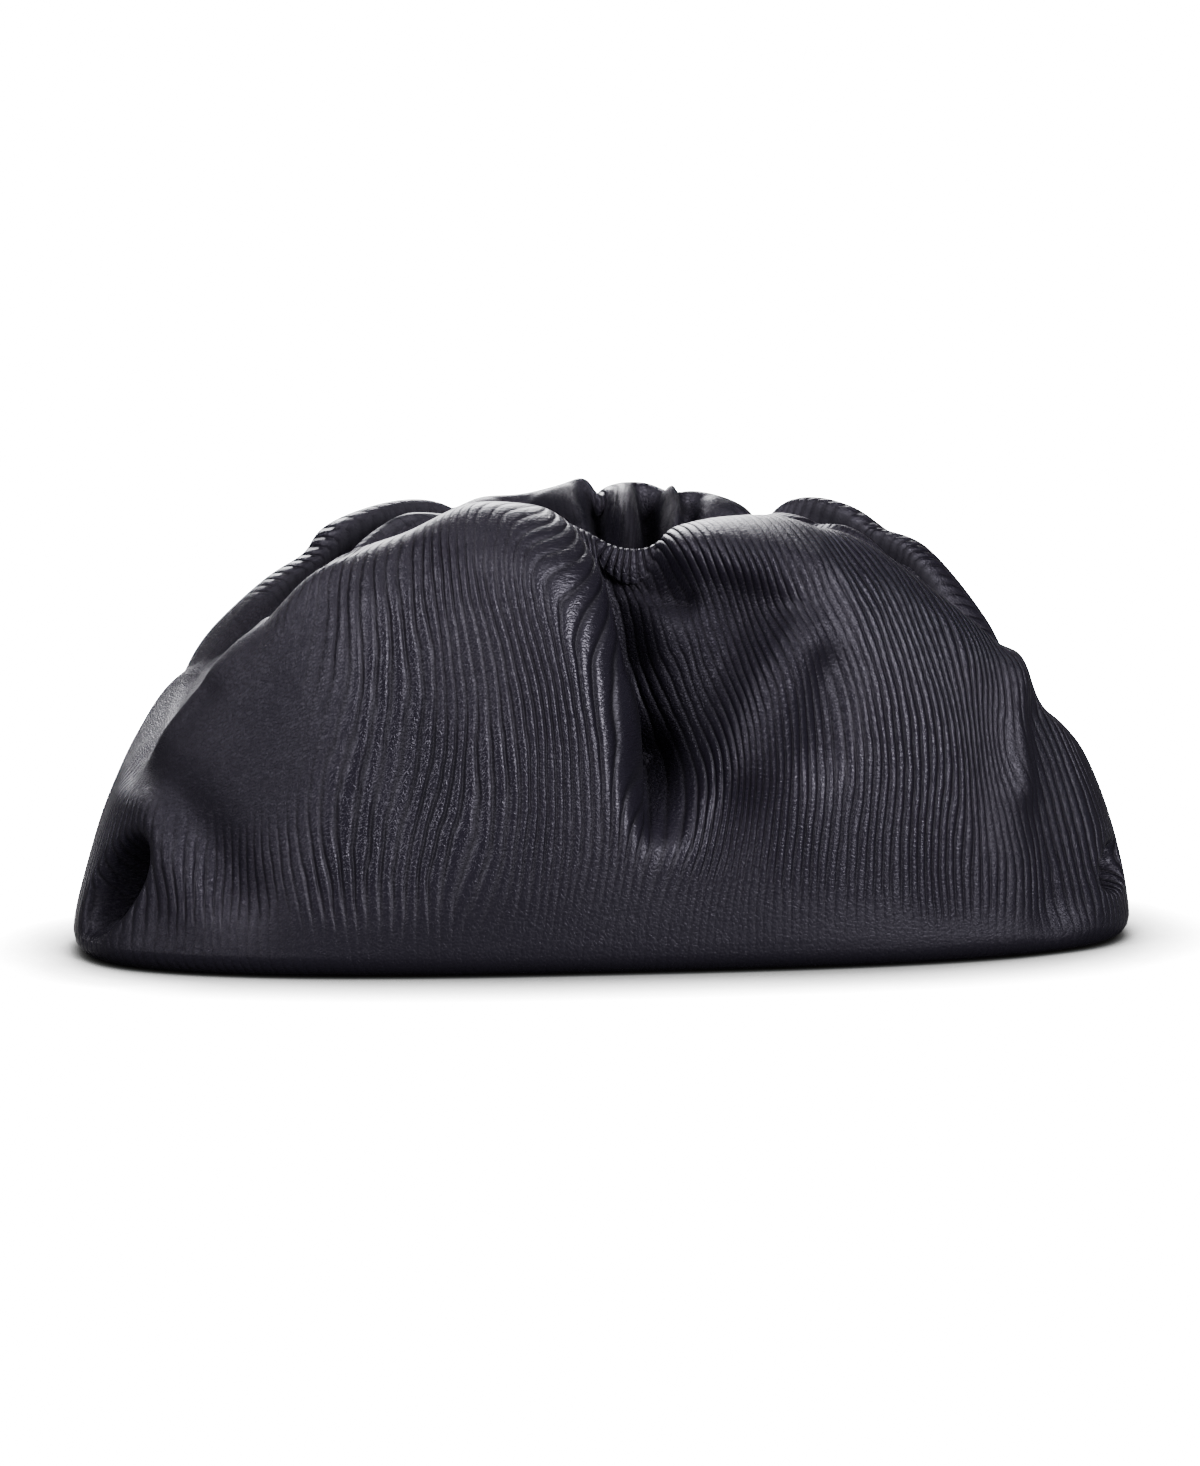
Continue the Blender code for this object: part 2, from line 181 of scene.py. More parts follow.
DENT_ROWS = (
    (-0.960, -0.50, 0.172, 0.102, 0.046, 54, 0.42, 2),
    (-0.860, -0.82, 0.260, 0.120, 0.045, -60, -0.06, 1),
    (-0.790, -0.90, 0.240, 0.130, 0.060, -66, 0.06, 1),
    (-0.560, -0.70, 0.720, 0.200, 0.050, 76, 0.05, 1),
    (-0.350, -0.90, 0.480, 0.250, 0.120, 60, 0.05, 1),
    (0.955, -0.42, 0.170, 0.050, 0.035, 20, 0.26, 2),
    (0.950, 0.50, 0.180, 0.080, 0.055, 0, 0.20, 1),
    (-0.950, 0.50, 0.180, 0.080, 0.055, 0, 0.20, 1),
    (0.450, 0.90, 0.450, 0.220, 0.080, 70, 0.06, 1),
    (0.060, 0.85, 0.600, 0.200, 0.090, -75, -0.04, 1),
    (-0.150, 0.90, 0.420, 0.200, 0.080, 75, 0.06, 1),
    (-0.500, 0.88, 0.420, 0.220, 0.080, -70, 0.06, 1),
)
FOLD_COLUMNS = ("leaf", "x0", "z0", "x1", "z1", "bow", "left", "right", "depth")
FOLD_ROWS = (
    ("front", 0.10, 0.820, 0.27, 0.765, 0.01, 0.024, 0.080, 0.09),
    ("front", 0.12, 0.87, 0.35, 0.84, 0.02, 0.040, 0.040, -0.04),
    ("front", 0.043, 0.868, 0.110, 0.785, -0.010, 0.022, 0.035, 0.12),
    ("front", 0.20, 0.72, 0.09, 0.44, 0.00, 0.060, 0.080, 0.15),
    ("front", 0.305, 0.68, 0.215, 0.46, 0.00, 0.070, 0.070, -0.08),
    ("front", 0.060, 0.44, 0.055, 0.35, 0.00, 0.060, 0.035, 0.10),
    ("front", -0.002, 0.860, 0.026, 0.640, 0.00, 0.045, 0.020, 0.11),
    ("front", 0.37, 0.62, 0.36, 0.46, 0.00, 0.045, 0.045, 0.05),
    ("front", 0.79, 0.50, 0.81, 0.12, 0.00, 0.060, 0.045, 0.06),
    ("front", 0.745, 0.62, 0.755, 0.36, 0.00, 0.030, 0.030, -0.04),
    ("front", -0.86, 0.40, -0.70, 0.18, 0.02, 0.050, 0.040, 0.04),
    ("front", -0.76, 0.58, -0.90, 0.40, 0.00, 0.030, 0.030, 0.03),
    ("inside", -0.009, 0.955, 0.018, 0.845, 0.00, 0.024, 0.026, 0.18),
    ("inside", 0.052, 0.94, 0.055, 0.84, 0.00, 0.025, 0.022, -0.04),
    ("inside", 0.105, 0.95, 0.105, 0.83, 0.00, 0.022, 0.024, 0.20),
    ("inside", 0.140, 0.94, 0.140, 0.84, 0.00, 0.020, 0.020, -0.07),
    ("inside", 0.182, 0.93, 0.182, 0.87, 0.00, 0.022, 0.022, 0.15),
    ("inside", 0.290, 0.94, 0.295, 0.88, 0.00, 0.015, 0.015, 0.09),
    ("inside", -0.150, 0.93, -0.050, 0.90, 0.00, 0.020, 0.040, 0.12),
)
RUFFLE_COLUMNS = ("around", "width", "up", "span", "rise", "push")
RUFFLE_ROWS = (
    (0.880, 0.035, 1.40, 0.10, 0.085, 0.00),
    (0.860, 0.040, 1.17, 0.07, -0.100, 0.06),
    (0.573, 0.050, 1.40, 0.10, 0.118, 0.00),
    (0.618, 0.040, 1.17, 0.07, -0.100, 0.06),
)
GATHER_SHADE_COLUMNS = ("around", "width", "until")
GATHER_SHADE_ROWS = (
    (0.862, 0.038, 1.27),
    (0.615, 0.042, 1.27),
    (0.778, 0.016, 2.00),
    (0.751, 0.006, 2.00),
    (0.729, 0.007, 2.00),
    (0.712, 0.005, 2.00),
)


def named_rows(columns, rows):
    """Each row as a dictionary from column name to value."""
    return [dict(zip(columns, row)) for row in rows]


def smooth_step(value):
    """0 below 0, 1 above 1, and 3 v squared minus 2 v cubed between them."""
    value = np.clip(value, 0.0, 1.0)
    return value * value * (3.0 - 2.0 * value)


def hermite(places, knots, slopes, where):
    """A curve through the knots that has the given slope at each."""
    left = np.clip(np.searchsorted(places, where, side="right") - 1, 0, len(places) - 2)
    span = (places[left + 1] - places[left]).reshape((-1,) + (1,) * (knots.ndim - 1))
    t = (where - places[left]).reshape(span.shape) / span
    return (
        (2 * t**3 - 3 * t**2 + 1) * knots[left]
        + (t**3 - 2 * t**2 + t) * span * slopes[left]
        + (3 * t**2 - 2 * t**3) * knots[left + 1]
        + (t**3 - t**2) * span * slopes[left + 1]
    )


# %% The crest line, the outline on the floor and the hem
def crest_line(around):
    """A closed Catmull-Rom curve through the crest rows: x, y, z and how full the wall is."""
    rows = named_rows(CREST_COLUMNS, CREST_ROWS)
    at = np.array([r["around"] for r in rows])
    sizes = np.array((LENGTH / 2, DEPTH / 2, CREST_HEIGHT, 1.0))
    knots = np.array([(r["x"], r["y"], r["z"], r["full"]) for r in rows]) * sizes
    places = np.concatenate([at[-2:] - 1.0, at, at[:2] + 1.0])
    knots = np.concatenate([knots[-2:], knots, knots[:2]])
    slopes = (knots[2:] - knots[:-2]) / (places[2:] - places[:-2])[:, None]
    return hermite(places[1:-1], knots[1:-1], slopes, np.mod(around, 1.0))


def even_places(points, around):
    """Points of a closed outline at even shares of its length."""
    steps = np.linalg.norm(np.roll(points, -1, axis=0) - points, axis=1)
    reached = np.concatenate([[0.0], np.cumsum(steps)])
    looped = np.vstack([points, points[:1]])
    wanted = np.mod(around, 1.0) * reached[-1]
    return np.stack([np.interp(wanted, reached, looped[:, k]) for k in (0, 1)], axis=-1)


def base_outline(around, inset):
    """The superellipse that the wall stands on, drawn in by inset."""
    turn = math.pi + np.linspace(0.0, 2.0 * math.pi, OUTLINE_POINTS, endpoint=False)
    bend = 2.0 / OUTLINE_POWER
    x = (LENGTH / 2 - inset) * np.sign(np.cos(turn)) * np.abs(np.cos(turn)) ** bend
    y = (DEPTH / 2 - inset) * np.sign(np.sin(turn)) * np.abs(np.sin(turn)) ** bend
    return even_places(np.stack([x, y], axis=1), around)


def hem_outline(around):
    """The slot round the frame that the hem closes on: straight sides with round ends."""
    radius = FRAME_THICKNESS / 2 + CLEARANCE
    straight = FRAME_LENGTH / 2 - FRAME_EDGE / 2
    half_turn = np.linspace(-math.pi / 2, math.pi / 2, 2 * HEM_POINTS)
    right = np.stack([straight + radius * np.cos(half_turn), radius * np.sin(half_turn)], axis=1)
    left = -right
    return even_places(np.vstack([left[HEM_POINTS:], right, left[:HEM_POINTS]]), around)


# %% [markdown]
# ## The leather before it is pleated
#
# Each strip of leather starts as a plain curve: a quarter circle under the heel, a quarter
# ellipse up to the crest, and another one over the crest and down to the hem. The CAD model's
# strips are evened out where they turn over the crest, at its own few heights. Here that small
# shift is worked out in the same way and then read as a smooth curve, so the fine surface
# follows the CAD model and still has no kink.

# %% The plain pouch
COARSE_UP = np.concatenate([
    np.linspace(0.0, HEEL_UP, 4),
    np.linspace(HEEL_UP, 1.0, 13)[1:],
    np.linspace(1.0, 2.0, 8)[1:],
])
CREST_LEVEL = 15
EASING_ROUNDS = 4


def throat_heights(crest, share):
    """Heights from the crest at share 0 to the hem at 1. A crest below the frame's top rises over it."""
    climb = np.maximum(FRAME_TOP + HEM_RISE - crest, 0.0)
    turned = 0.6 * smooth_step(climb / (3.0 * HEM_LAP))
    fall = 1.0 - np.cos(np.clip((share - turned) / (1.0 - turned), 0.0, 1.0) * math.pi / 2)
    return crest + climb * smooth_step(share / 0.6) + (FRAME_TOP - HEM_LAP - crest - climb) * fall


def strips_at(around, up):
    """Heel: a quarter circle. Wall and throat: quarter ellipses with powers of sine and cosine."""
    base = base_outline(around, 0.0)[:, None]
    foot = base_outline(around, HEEL_RADIUS)[:, None]
    crest = crest_line(around)[:, None]
    hem = hem_outline(around)[:, None]
    points = np.zeros((len(around), len(up), 3))
    heel, throat = up <= HEEL_UP, up > 1.0
    wall = ~heel & ~throat
    turn = up[heel] / HEEL_UP * math.pi / 2
    points[:, heel, :2] = foot + (base - foot) * np.sin(turn)[None, :, None]
    points[:, heel, 2] = HEEL_RADIUS * (1.0 - np.cos(turn))
    turn = ((up[wall] - HEEL_UP) / (1.0 - HEEL_UP) * math.pi / 2)[None, :]
    bend = 2.0 - crest[..., 3]
    lean = np.maximum(np.cos(turn), 0.0) ** bend
    points[:, wall, :2] = crest[..., :2] + (base - crest[..., :2]) * lean[..., None]
    points[:, wall, 2] = HEEL_RADIUS + (crest[..., 2] - HEEL_RADIUS) * np.sin(turn) ** bend
    share = (up[throat] - 1.0)[None, :]
    points[:, throat, :2] = crest[..., :2] + (hem - crest[..., :2]) * np.sin(share * math.pi / 2)[..., None]
    points[:, throat, 2] = throat_heights(crest[..., 2], share)
    return points


def plain_pouch(around, up):
    """The strips at every height in up, with the CAD model's easing over the crest."""
    rough = strips_at(around, COARSE_UP)
    points = rough.copy()
    first, last = CREST_LEVEL - 3, CREST_LEVEL + 3
    for _ in range(EASING_ROUNDS):
        middle = points[:, first:last]
        beside = (points[:, first - 1 : last - 1] + points[:, first + 1 : last + 1]) / 2
        points[:, first:last] = middle + (beside - middle) * 0.5
    shift = (points - rough).transpose(1, 0, 2)
    slopes = np.gradient(shift, COARSE_UP, axis=0)
    return strips_at(around, up) + hermite(COARSE_UP, shift, slopes, up).transpose(1, 0, 2)


# %% [markdown]
# ## Pleats and dents
#
# A pleat is a valley that runs up a strip to the hem. Its profile is a bell curve whose two
# sides may differ in width, and the bank beside it can lean over it, as gathered leather does.
# A dent is a bell curve pressed in along the leather's own normal, longer one way than the
# other. A fold follows a bowed line across one leaf of the bag, with its own width on each side.
# A ruffle raises or sinks the leather inside the gathers, or pushes it out under the crest. All
# were placed from the picture, as shares of the bag's length, depth and height.
#
# A pleat acts fully on some heights and fades on others. The levels below give its four parts
# at a few heights: how far it goes in, sinks the crest, opens the throat and leans its bank.

# %% Pleats, dents, folds and ruffles as displacements
LEVEL_IN = ((0.0, 0.5, 1.0, 1.40, 2.0), (1.0, 1.0, 0.36, 0.0, 0.0))
LEVEL_DOWN = ((0.0, 0.5, 1.0, 1.6, 2.0), (0.0, 0.0, 1.0, 0.3, 0.0))
LEVEL_THROAT = ((1.0, 1.35, 1.7, 2.0), (0.0, 1.0, 0.6, 0.0))
LEVEL_LAP = ((0.0, 0.85, 1.15, 1.5, 2.0), (1.0, 1.0, 0.4, 0.0, 0.0))
NARROW_FOOT = 0.4
BANK_OFFSET = 0.9
DENT_THROUGH = 0.8


def plan_directions(around):
    """Unit vectors along the outline and into the bag, seen from above."""
    ahead = base_outline(around + 0.002, 0.0) - base_outline(around - 0.002, 0.0)
    ahead = ahead / np.linalg.norm(ahead, axis=1, keepdims=True)
    return ahead, np.stack([-ahead[:, 1], ahead[:, 0]], axis=1)


def outline_length():
    """Metres round the outline on the floor."""
    return np.linalg.norm(np.diff(base_outline(np.linspace(0, 1, 400), 0.0), axis=0), axis=1).sum()


def pleated(points, around, up, rows):
    """Sinks each pleat into the wall and the crest, and leans its bank over it."""
    ahead, inward = plan_directions(around)
    perimeter = outline_length()
    level_in, level_down = np.interp(up, *LEVEL_IN), np.interp(up, *LEVEL_DOWN)
    level_throat, level_lap = np.interp(up, *LEVEL_THROAT), np.interp(up, *LEVEL_LAP)
    for row in named_rows(PLEAT_COLUMNS, rows):
        strength = smooth_step((up - row["foot_up"]) / row["onset"])
        share = np.clip((up - row["foot_up"]) / (1.0 - row["foot_up"]), 0.0, 1.0)
        centre = row["foot"] + (row["top"] - row["foot"]) * share
        offset = (around[:, None] - centre[None, :]) * perimeter / (LENGTH / 2)
        side = np.where(offset < 0, row["left"], row["right"])
        side = side * (NARROW_FOOT + (1.0 - NARROW_FOOT) * share)
        valley = np.exp(-((offset / side) ** 2))
        bank = np.exp(-((offset / side + np.sign(row["lap"]) * BANK_OFFSET) ** 2) / 0.5)
        inwards = valley * strength * DEPTH / 2 * (row["depth"] * level_in - row["throat"] * level_throat)
        lean = bank * strength * row["lap"] * LENGTH / 2
        points[..., :2] += inwards[..., None] * inward[:, None, :]
        points[..., :2] += (lean * level_lap)[..., None] * ahead[:, None, :]
        points[..., 2] -= valley * strength * row["drop"] * CREST_HEIGHT * level_down
    return points


def inward_normals(points):
    """Unit normals of the grid, pointing into the leather."""
    along = np.roll(points, -1, axis=0) - np.roll(points, 1, axis=0)
    normals = np.cross(np.gradient(points, axis=1), along)
    return normals / np.maximum(np.linalg.norm(normals, axis=2, keepdims=True), 1e-9)


def dented(points, plain, up, rows):
    """Presses each dent in along the normal of the plain leather. Edge 1 is soft, 2 is steep."""
    normals = inward_normals(plain)
    size = np.array((LENGTH / 2, DEPTH / 2, CREST_HEIGHT))
    total = np.zeros(points.shape[:2])
    for row in named_rows(DENT_COLUMNS, rows):
        away = plain - np.array((row["x"], row["y"], row["z"])) * size
        distance = np.linalg.norm(away, axis=2)
        inward = normals[np.unravel_index(np.argmin(distance), distance.shape)]
        level = np.array((inward[1], -inward[0], 0.0))
        level = level / np.linalg.norm(level)
        above = np.cross(level, inward)
        slant = math.radians(row["slant"])
        run = away @ (level * math.cos(slant) + above * math.sin(slant)) / (LENGTH / 2)
        beside = away @ (above * math.cos(slant) - level * math.sin(slant)) / (LENGTH / 2)
        through = away @ inward / (DEPTH / 2)
        reach = (run / row["run"]) ** 2 + (beside / row["width"]) ** 2 + (through / DENT_THROUGH) ** 2
        total += row["depth"] * DEPTH / 2 * np.exp(-(reach ** row["edge"]))
    off_floor = smooth_step(plain[..., 2] / DENT_FADE)
    on_wall = 1.0 - smooth_step((up - 0.95) / 0.10)
    total = total * off_floor * on_wall
    return points + normals * total[..., None], np.abs(total)


def leaf_masks(around, up):
    """1 on the front leaf, or on the inside of the gathers elsewhere."""
    front = smooth_step((0.25 - np.abs(around - 0.25)) / 0.03)[:, None]
    wall = (1.0 - smooth_step((up - 0.97) / 0.08))[None, :]
    return {"front": front * wall, "inside": (1.0 - front) * (1.0 - wall)}


def folded(points, plain, around, up, rows):
    """Presses each fold in along a bowed line seen from the front. Depth below 0 raises it."""
    normals = inward_normals(plain)
    masks = leaf_masks(around, up)
    total = np.zeros(points.shape[:2])
    for row in named_rows(FOLD_COLUMNS, rows):
        start = np.array((row["x0"] * LENGTH / 2, row["z0"] * CREST_HEIGHT))
        run = np.array((row["x1"] * LENGTH / 2, row["z1"] * CREST_HEIGHT)) - start
        length = np.linalg.norm(run)
        ahead = run / length
        away = points[..., [0, 2]] - start
        share = away @ ahead / length
        bowed = 4.0 * row["bow"] * np.clip(share, 0.0, 1.0) * (1.0 - np.clip(share, 0.0, 1.0))
        beside = away @ np.array((-ahead[1], ahead[0])) / (LENGTH / 2) - bowed
        width = np.where(beside > 0, row["left"], row["right"])
        beyond = np.maximum(np.abs(share - 0.5) - 0.5, 0.0) * length / (LENGTH / 2)
        reach = (beside / width) ** 2 + (beyond / (0.5 * (row["left"] + row["right"]))) ** 2
        total += row["depth"] * DEPTH / 2 * np.exp(-reach) * masks[row["leaf"]]
    return points + normals * total[..., None], np.abs(total)


def ruffled(points, around, up, rows):
    """Raises or sinks the leather inside the gathers, or pushes it out under the crest."""
    inward = plan_directions(around)[1]
    for row in named_rows(RUFFLE_COLUMNS, rows):
        bell = np.exp(-(((around - row["around"]) / row["width"]) ** 2))[:, None]
        bell = bell * np.exp(-(((up - row["up"]) / row["span"]) ** 2))[None, :]
        points[..., 2] += row["rise"] * CREST_HEIGHT * bell
        points[..., :2] -= (row["push"] * DEPTH / 2 * bell)[..., None] * inward[:, None, :]
    return points


def gather_shade_and_dullness(around, up):
    """1 deep between the gathers, where shade is painted into the colour and the leather is made duller."""
    depth = np.zeros((len(around), len(up)))
    for row in named_rows(GATHER_SHADE_COLUMNS, GATHER_SHADE_ROWS):
        near = np.exp(-(((around - row["around"]) / row["width"]) ** 4))[:, None]
        below = smooth_step((up - 1.04) / 0.05) * (1.0 - smooth_step((up - row["until"]) / 0.06))
        depth += near * below[None, :]
    return np.clip(depth, 0.0, 1.0)


# %% [markdown]
# ## From grid to closed skin
#
# The outer side is a fine grid. The inner side is every third ring of it, moved in by the
# wall's thickness, because nobody sees it. The two meet at the hem, and each is closed
# underneath by one flat face, so the piece is a closed body as thick as real leather.

# %% Divide the leather
STRIPS = 720
WALL_LEVELS = 58
THROAT_LEVELS = 30
INNER_STEP = 3
CORNER_PLACES = (0.04, 0.46)
CROWDING = 0.9
CROWD_WIDTH = 0.03


def strip_places():
    """Strips lie closer together where pleats and the corner hollows need them."""
    fine = np.linspace(0.0, 1.0, 4001)
    density = np.ones_like(fine)
    for place in [row[0] for row in PLEAT_ROWS] + list(CORNER_PLACES):
        density += CROWDING * np.exp(-(((fine - place) / CROWD_WIDTH) ** 2))
    reached = np.concatenate([[0.0], np.cumsum((density[1:] + density[:-1]) / 2)])
    return np.interp(np.linspace(0.0, reached[-1], STRIPS, endpoint=False), reached, fine)


def level_places():
    """Levels from the floor to the hem, the heel's own among them."""
    heel = np.linspace(0.0, HEEL_UP, 5)
    wall = np.linspace(HEEL_UP, 1.0, WALL_LEVELS + 1)[1:]
    throat = np.linspace(1.0, 2.0, THROAT_LEVELS + 1)[1:]
    return np.concatenate([heel, wall, throat])


around, up = strip_places(), level_places()
plain = plain_pouch(around, up)
pleats = ruffled(pleated(plain.copy(), around, up, PLEAT_ROWS), around, up, RUFFLE_ROWS)
outer, dent_depth = dented(pleats, plain, up, DENT_ROWS)
outer, fold_depth = folded(outer, plain, around, up, FOLD_ROWS)
INNER_RINGS = list(range(len(up) - 1, 0, -INNER_STEP)) + [0]
print("outer grid:", outer.shape[0], "strips x", outer.shape[1], "levels")


# %% Make the skin
INNER_BASE = (0.99, 0.97, 1.0)


def ring_quads(rings, count):
    """Quads between rings of equal count, one ring after another, closed round."""
    lower = np.arange(rings - 1)[:, None] * count
    i = np.arange(count)[None, :]
    k = (np.arange(count)[None, :] + 1) % count
    corners = [lower + i, lower + k, lower + count + k, lower + count + i]
    return np.stack(corners, axis=-1).reshape(-1, 4)


def make_skin():
    """Outer rings from the floor to the hem, inner rings back down, and a flat face for each base."""
    inward = inward_normals(outer)
    inner = outer[:, INNER_RINGS] + inward[:, INNER_RINGS] * WALL
    inner[:, -1] = outer[:, 0] * np.array(INNER_BASE) + np.array((0.0, 0.0, WALL))
    grid = np.concatenate([outer.transpose(1, 0, 2), inner.transpose(1, 0, 2)])
    rings, count = grid.shape[:2]
    faces = ring_quads(rings, count).tolist()
    faces.append(list(range(count))[::-1])
    faces.append(list(range((rings - 1) * count, rings * count)))
    mesh = bpy.data.meshes.new("leather_pouch")
    mesh.from_pydata(grid.reshape(-1, 3).tolist(), [], faces)
    return mesh


mesh = make_skin()
mesh.shade_smooth()
print("skin:", len(mesh.vertices), "points")


# %% [markdown]
# ## Coordinates that follow the leather
#
# The grain was pressed into the hide before it was sewn, so it has to follow the folds. The
# first UV map holds real lengths: metres round the pouch, and metres up each strip. The second
# counts the grain's ridges: its u is the number of ridges passed since the left end. Both read
# the seam as the far end and not as zero, so nothing is squeezed there.
#
# The ridges are the contours of a smooth hill, like the lines of cut timber: the count rises
# steadily round the bag, and bumps are added to it. A ridge stands wherever the count passes a
# whole number, so bumps make the ridges sway, crowd or part. The lean rows tilt the ridges of
# each lobe towards its top, and turn over along the lip of the middle pleat. The faint rows say
# where the ridges are pulled flat by stretch or worn away, or stand higher where loss is below 0.

# %% Count the ridges
SPACING_COLUMNS = ("around", "spacing")
SPACING_ROWS = (
    (0.00, 0.0040),
    (0.15, 0.0040),
    (0.24, 0.0038),
    (0.30, 0.0034),
    (0.45, 0.0036),
    (0.75, 0.0040),
    (1.00, 0.0040),
)
BUMP_COLUMNS = ("x", "z", "wide", "tall", "ridges")
BUMP_ROWS = (
    (0.715, 0.460, 0.060, 0.150, 2.8),
    (-0.300, 0.500, 0.200, 0.300, -2.6),
    (-0.550, 0.350, 0.160, 0.250, 2.5),
    (-0.150, 0.300, 0.150, 0.250, -1.8),
    (-0.200, 0.800, 0.120, 0.200, 2.0),
    (0.450, 0.500, 0.200, 0.300, -3.0),
    (0.550, 0.250, 0.150, 0.200, 2.0),
    (0.160, 0.380, 0.110, 0.200, -4.0),
    (0.300, 0.850, 0.150, 0.150, 2.0),
)
LEAN_COLUMNS = ("place", "ridges")
LEAN_ROWS = (
    (0.00, 0.0),
    (0.05, 0.0),
    (0.14, -4.5),
    (0.245, -4.5),
    (0.290, 1.5),
    (0.33, 4.0),
    (0.40, 4.0),
    (0.47, 0.0),
    (1.00, 0.0),
)
LEAN_FOOT = 0.1
LEAN_POWER = 1.5
FAINT_COLUMNS = ("x", "z", "wide", "tall", "loss")
FAINT_ROWS = (
    (-0.740, 0.530, 0.180, 0.250, 1.00),
    (-0.526, 0.400, 0.220, 0.220, -0.35),
    (-0.420, 0.960, 0.300, 0.060, 0.55),
    (-0.170, 0.900, 0.130, 0.090, 0.50),
    (0.050, 0.000, 0.600, 0.200, 0.90),
    (-0.650, 0.000, 0.500, 0.120, 0.70),
    (0.620, 0.000, 0.400, 0.100, 0.80),
    (0.250, 0.940, 0.120, 0.060, 0.80),
    (0.720, 0.420, 0.060, 0.260, 0.60),
    (0.200, 0.560, 0.070, 0.080, 0.35),
    (-0.300, 0.640, 0.080, 0.120, 0.30),
)
FAINT_REACH = 1.6
ROLL_LOSS = 0.65


def picture_bell(row):
    """A bell in x and z over the whole leather, from one row's place and size."""
    across = (outer[..., 0] / (LENGTH / 2) - row["x"]) / row["wide"]
    upward = (outer[..., 2] / CREST_HEIGHT - row["z"]) / row["tall"]
    return np.exp(-(across**2) - upward**2)


def ridge_count(perimeter):
    """The steady rise, a whole number of ridges round the bag, plus the lean and the bumps."""
    fine = np.linspace(0.0, 1.0, 1001)
    spacing = np.interp(fine, *zip(*SPACING_ROWS))
    passed = perimeter * np.diff(fine) / ((spacing[1:] + spacing[:-1]) / 2)
    rise = np.concatenate([[0.0], np.cumsum(passed)])
    rise *= round(rise[-1]) / rise[-1]
    count = np.repeat(np.interp(around, fine, rise)[:, None], len(up), axis=1)
    first = named_rows(PLEAT_COLUMNS, PLEAT_ROWS)[0]
    climb = np.clip((up - first["foot_up"]) / (1.0 - first["foot_up"]), 0.0, 1.0)
    place = around[:, None] + (first["foot"] - first["top"]) * climb[None, :]
    leaning = np.clip((up - LEAN_FOOT) / (1.0 - LEAN_FOOT), 0.0, 1.0) ** LEAN_POWER
    count += np.interp(place, *zip(*LEAN_ROWS)) * leaning[None, :]
    front = leaf_masks(around, up)["front"]
    for row in named_rows(BUMP_COLUMNS, BUMP_ROWS):
        count += row["ridges"] * picture_bell(row) * front
    return count, rise[-1]


def grain_strength():
    """1 where the grain is clear and 0 where stretch, wear or the gathers' squeeze smoothed it."""
    strength = 1.0 - ROLL_LOSS * leaf_masks(around, up)["inside"]
    for row in named_rows(FAINT_COLUMNS, FAINT_ROWS):
        strength *= 1.0 - row["loss"] * smooth_step(FAINT_REACH * picture_bell(row))
    return strength * smooth_step((2.0 - up) / 0.2)[None, :]


# %% Write the UV maps and the masks
CREASE_DEPTH = 0.012
STRETCH_SHARE = 0.6


def by_ring(values):
    """Values of the outer grid in the order of the mesh's points: outer rings, then inner rings."""
    return np.concatenate([values.T, values[:, INNER_RINGS].T])


def write_uv(mesh, name, u, v, u_end):
    """A UV map from values at the grid's points. The last column ends u_end past the start."""
    count = u.shape[1]
    corner = np.zeros(len(mesh.loops), dtype=np.int64)
    mesh.loops.foreach_get("vertex_index", corner)
    picked = u.ravel()[corner]
    quads = (len(u) - 1) * count
    face_of = np.arange(quads * 4) // 4
    seam = np.zeros(len(mesh.loops), dtype=bool)
    seam[: quads * 4] = (face_of % count == count - 1) & (corner[: quads * 4] % count == 0)
    picked = picked + seam * u_end
    layer = mesh.uv_layers.new(name=name)
    pairs = np.stack([picked, v.ravel()[corner]], axis=1)
    layer.data.foreach_set("uv", pairs.ravel().astype(np.float32))


def write_mask(mesh, name, values):
    """A number at each point of the mesh, for the material to read."""
    layer = mesh.attributes.new(name, "FLOAT", "POINT")
    layer.data.foreach_set("value", values.ravel().astype(np.float32))


perimeter = outline_length()
steps = np.linalg.norm(np.diff(outer, axis=1), axis=2).mean(axis=0)
reached = np.concatenate([[0.0], np.cumsum(steps)])
metres_round = np.repeat(around[:, None] * perimeter, len(up), axis=1)
metres_up = np.repeat(reached[None, :], len(around), axis=0)
ridges, ridges_round = ridge_count(perimeter)
most_stretched = picture_bell(named_rows(FAINT_COLUMNS, FAINT_ROWS)[0])
creased = np.maximum(
    smooth_step((dent_depth + fold_depth) / CREASE_DEPTH),
    STRETCH_SHARE * smooth_step(FAINT_REACH * most_stretched),
)
write_uv(mesh, "leather_metres", by_ring(metres_round), by_ring(metres_up), perimeter)
write_uv(mesh, "grain_count", by_ring(ridges), by_ring(metres_up), ridges_round)
write_mask(mesh, "grain_strength", by_ring(grain_strength()))
write_mask(mesh, "creased", by_ring(creased))
write_mask(mesh, "gather_shade_and_dullness", by_ring(gather_shade_and_dullness(around, up)))
print("outline:", round(perimeter, 3), "m, ridges round it:", int(ridges_round))

# %% [markdown]
# ## The embossed grain
#
# The node group bends the counted ridges with noise, so that no two run alike, and turns the
# count into a wave. It also gives patches where the grain is stronger or weaker, the fine
# crackle of stretched leather, and its pores. Noise is read on a cylinder as long round as the
# bag, so the pattern meets itself at the seam. The wave is skewed, so each ridge has a steep and
# a gentle side, and its power is below 1, so the ridges are broad and the valleys narrow.

# %% A node group for the grain
WANDER = 4.6
FLUTTER = 1.1
SKEW = 0.55
FULLNESS = 0.70
CELLS_PER_METRE = 620.0
PORES_PER_METRE = 1100.0


def add_node(tree, kind, **values):
    """A new node with its plain properties set."""
    node = tree.nodes.new(kind)
    for name, value in values.items():
        setattr(node, name, value)
    return node


